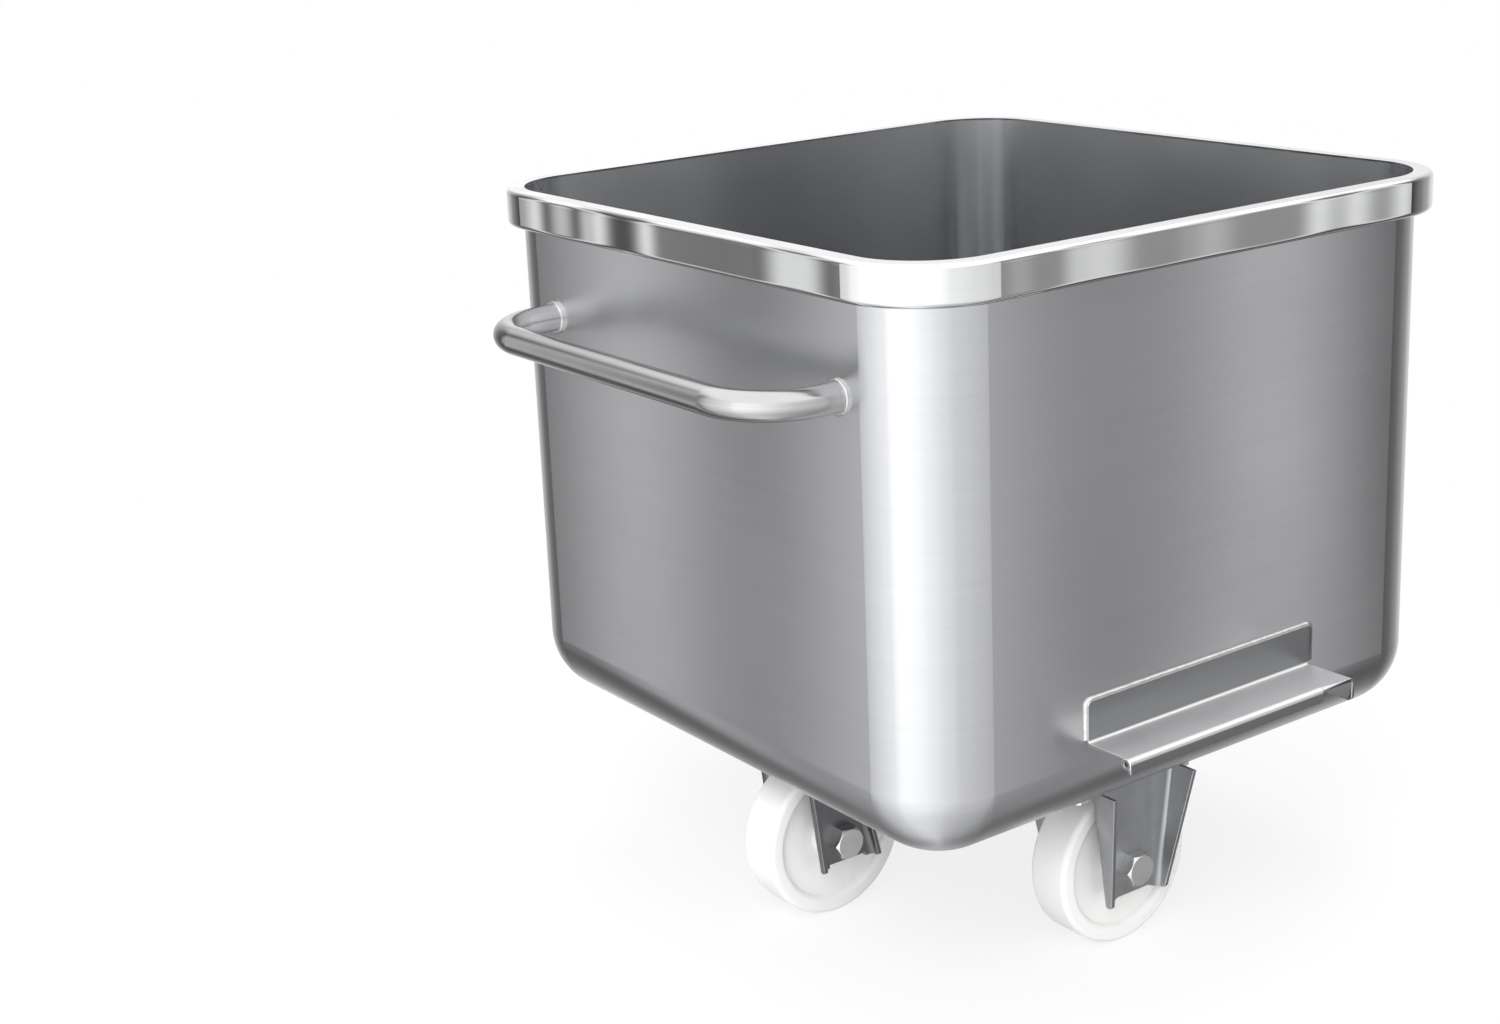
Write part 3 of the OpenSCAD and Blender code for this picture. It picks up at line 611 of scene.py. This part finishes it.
# Floor
# A plain pale studio floor, just under the wheels. It keeps a soft shadow near the object and runs out to
# white for the camera.
FLOOR_HALF, FLOOR_DROP = 30.0, 0.0005
FLOOR_PALE = (0.9, 0.9, 0.9, 1)
floor_mesh = bpy.data.meshes.new("studio_floor")
floor_mesh.from_pydata(
    [(-FLOOR_HALF, -FLOOR_HALF, 0), (FLOOR_HALF, -FLOOR_HALF, 0), (FLOOR_HALF, FLOOR_HALF, 0),
     (-FLOOR_HALF, FLOOR_HALF, 0)], [], [(0, 1, 2, 3)])
floor = bpy.data.objects.new("studio_floor", floor_mesh)
bpy.context.scene.collection.objects.link(floor)
floor.location.z = -FLOOR_DROP
floor.visible_glossy = False
floor_pale = bpy.data.materials.new("floor_pale")
floor_pale.use_nodes = True
tree = floor_pale.node_tree
tree.nodes.clear()
surface = node(tree, "OutputMaterial")
matt = node(tree, "BsdfDiffuse", Color=FLOOR_PALE)
white = node(tree, "Emission", Strength=1.0)
seen = node(tree, "LightPath")
floor_place = node(tree, "TexCoord")
away = node(tree, "VectorMath", operation="LENGTH")
fade = node(tree, "MapRange", interpolation_type="SMOOTHSTEP", From_Min=0.5, From_Max=1.6, To_Min=0.8)
share = node(tree, "Math", operation="MULTIPLY")
blend = node(tree, "MixShader")
join(tree,
     floor_place.outputs["Object"], away.inputs[0],
     away.outputs["Value"], fade.inputs["Value"],
     fade.outputs["Result"], share.inputs[0],
     seen.outputs["Is Camera Ray"], share.inputs[1],
     share.outputs["Value"], blend.inputs["Fac"],
     matt.outputs["BSDF"], blend.inputs[1],
     white.outputs["Emission"], blend.inputs[2],
     blend.outputs["Shader"], surface.inputs["Surface"])
floor_mesh.materials.append(floor_pale)

# Studio light
# Tall strip lights and grey flags stand round the object; metal sees them, while the camera sees plain white.
# Each row is a direction in degrees round the object, counted from +X towards +Y, and its brightness.
STRIPS = [(0, 0.4), (20, 0.8), (40, 0.95), (60, 1.1), (80, 0.6), (98, 0.25), (110, 0.08), (120, 0.87),
          (128.5, 0.18), (137, 0.87), (150, 1.2), (175, 1.5), (195, 1.9), (210, 1.8), (228, 1.55),
          (244, 1.3), (262, 1.05), (290, 0.9), (302, 0.8), (309, 0.32), (314, 0.33), (322.5, 0.87),
          (330, 0.06), (342, 0.2)]
OVERHEAD = 1.55
UNDERNEATH = 0.62
SOFT_FILL = 0.82
studio = bpy.data.worlds.new("studio")
bpy.context.scene.world = studio
studio.use_nodes = True
tree = studio.node_tree
tree.nodes.clear()
surround = node(tree, "OutputWorld")
direction = node(tree, "TexCoord")
parts = node(tree, "SeparateXYZ")
turn = node(tree, "Math", operation="ARCTAN2")
whole = node(tree, "MapRange", From_Min=-math.pi, From_Max=math.pi)
ring = node(tree, "ValToRGB")
ring.color_ramp.interpolation = "EASE"
stops = sorted((((angle + 180) % 360) / 360, level) for angle, level in STRIPS)
for index, (position, level) in enumerate(stops):
    points = ring.color_ramp.elements
    point = points[index] if index < 2 else points.new(position)
    point.position = position
    point.color = (level, level, level, 1)
high = node(tree, "MapRange", interpolation_type="SMOOTHSTEP", From_Min=0.4, From_Max=0.68)
low = node(tree, "MapRange", interpolation_type="SMOOTHSTEP", From_Min=-0.25, From_Max=-0.75)
with_top = colour_mix(tree, (OVERHEAD, OVERHEAD, OVERHEAD, 1))
with_floor = colour_mix(tree, (UNDERNEATH, UNDERNEATH, UNDERNEATH, 1), blend_type="MULTIPLY")
mirrored = node(tree, "Background", Strength=1.0)
fill = node(tree, "Background", Color=(1, 1, 1, 1), Strength=SOFT_FILL)
backdrop = node(tree, "Background", Color=(1, 1, 1, 1), Strength=1.0)
ray = node(tree, "LightPath")
shiny = node(tree, "Math", operation="MAXIMUM")
metal_or_not = node(tree, "MixShader")
seen_or_not = node(tree, "MixShader")
join(tree,
     direction.outputs["Generated"], parts.inputs["Vector"],
     parts.outputs["Y"], turn.inputs[0],
     parts.outputs["X"], turn.inputs[1],
     turn.outputs["Value"], whole.inputs["Value"],
     whole.outputs["Result"], ring.inputs["Fac"],
     parts.outputs["Z"], high.inputs["Value"],
     parts.outputs["Z"], low.inputs["Value"],
     high.outputs["Result"], with_top.inputs[MIX_SHARE],
     ring.outputs["Color"], with_top.inputs[MIX_FIRST],
     low.outputs["Result"], with_floor.inputs[MIX_SHARE],
     with_top.outputs[MIX_RESULT], with_floor.inputs[MIX_FIRST],
     with_floor.outputs[MIX_RESULT], mirrored.inputs["Color"],
     ray.outputs["Is Glossy Ray"], shiny.inputs[0],
     ray.outputs["Is Transmission Ray"], shiny.inputs[1],
     shiny.outputs["Value"], metal_or_not.inputs["Fac"],
     fill.outputs["Background"], metal_or_not.inputs[1],
     mirrored.outputs["Background"], metal_or_not.inputs[2],
     ray.outputs["Is Camera Ray"], seen_or_not.inputs["Fac"],
     metal_or_not.outputs["Shader"], seen_or_not.inputs[1],
     backdrop.outputs["Background"], seen_or_not.inputs[2],
     seen_or_not.outputs["Shader"], surround.inputs["Surface"])


def softbox(name, place, target, size, power):
    """A square area lamp aimed at a point; metal doesn't mirror it, because the strips do that."""
    lamp = bpy.data.lights.new(name, "AREA")
    lamp.size = size
    lamp.energy = power
    holder = bpy.data.objects.new(name, lamp)
    bpy.context.scene.collection.objects.link(holder)
    holder.location = place
    holder.rotation_euler = (Vector(target) - Vector(place)).to_track_quat("-Z", "Y").to_euler()
    holder.visible_camera = False
    holder.visible_glossy = False


softbox("key_softbox", place=(-2.2, -1.6, 2.4), target=(0, 0, 0.35), size=1.8, power=72)
softbox("top_softbox", place=(0.3, 0.2, 3.2), target=(0, 0, 0.3), size=2.4, power=45)

# Camera
# Placed where the photograph was taken from, found by fitting the rim, walls and wheels. The shift only moves
# the frame to where the photograph has it.
view = bpy.data.cameras.new("photo_view")
view.sensor_width = 36.0
view.lens = 54.0
view.shift_y = -0.0495
stand = bpy.data.objects.new("photo_view", view)
bpy.context.scene.collection.objects.link(stand)
stand.location = (-1.3784, -1.6340, 1.0407)
stand.rotation_euler = [math.radians(angle) for angle in (74.735, 2.370, -36.068)]
bpy.context.scene.camera = stand
bpy.context.scene.view_settings.view_transform = "Standard"
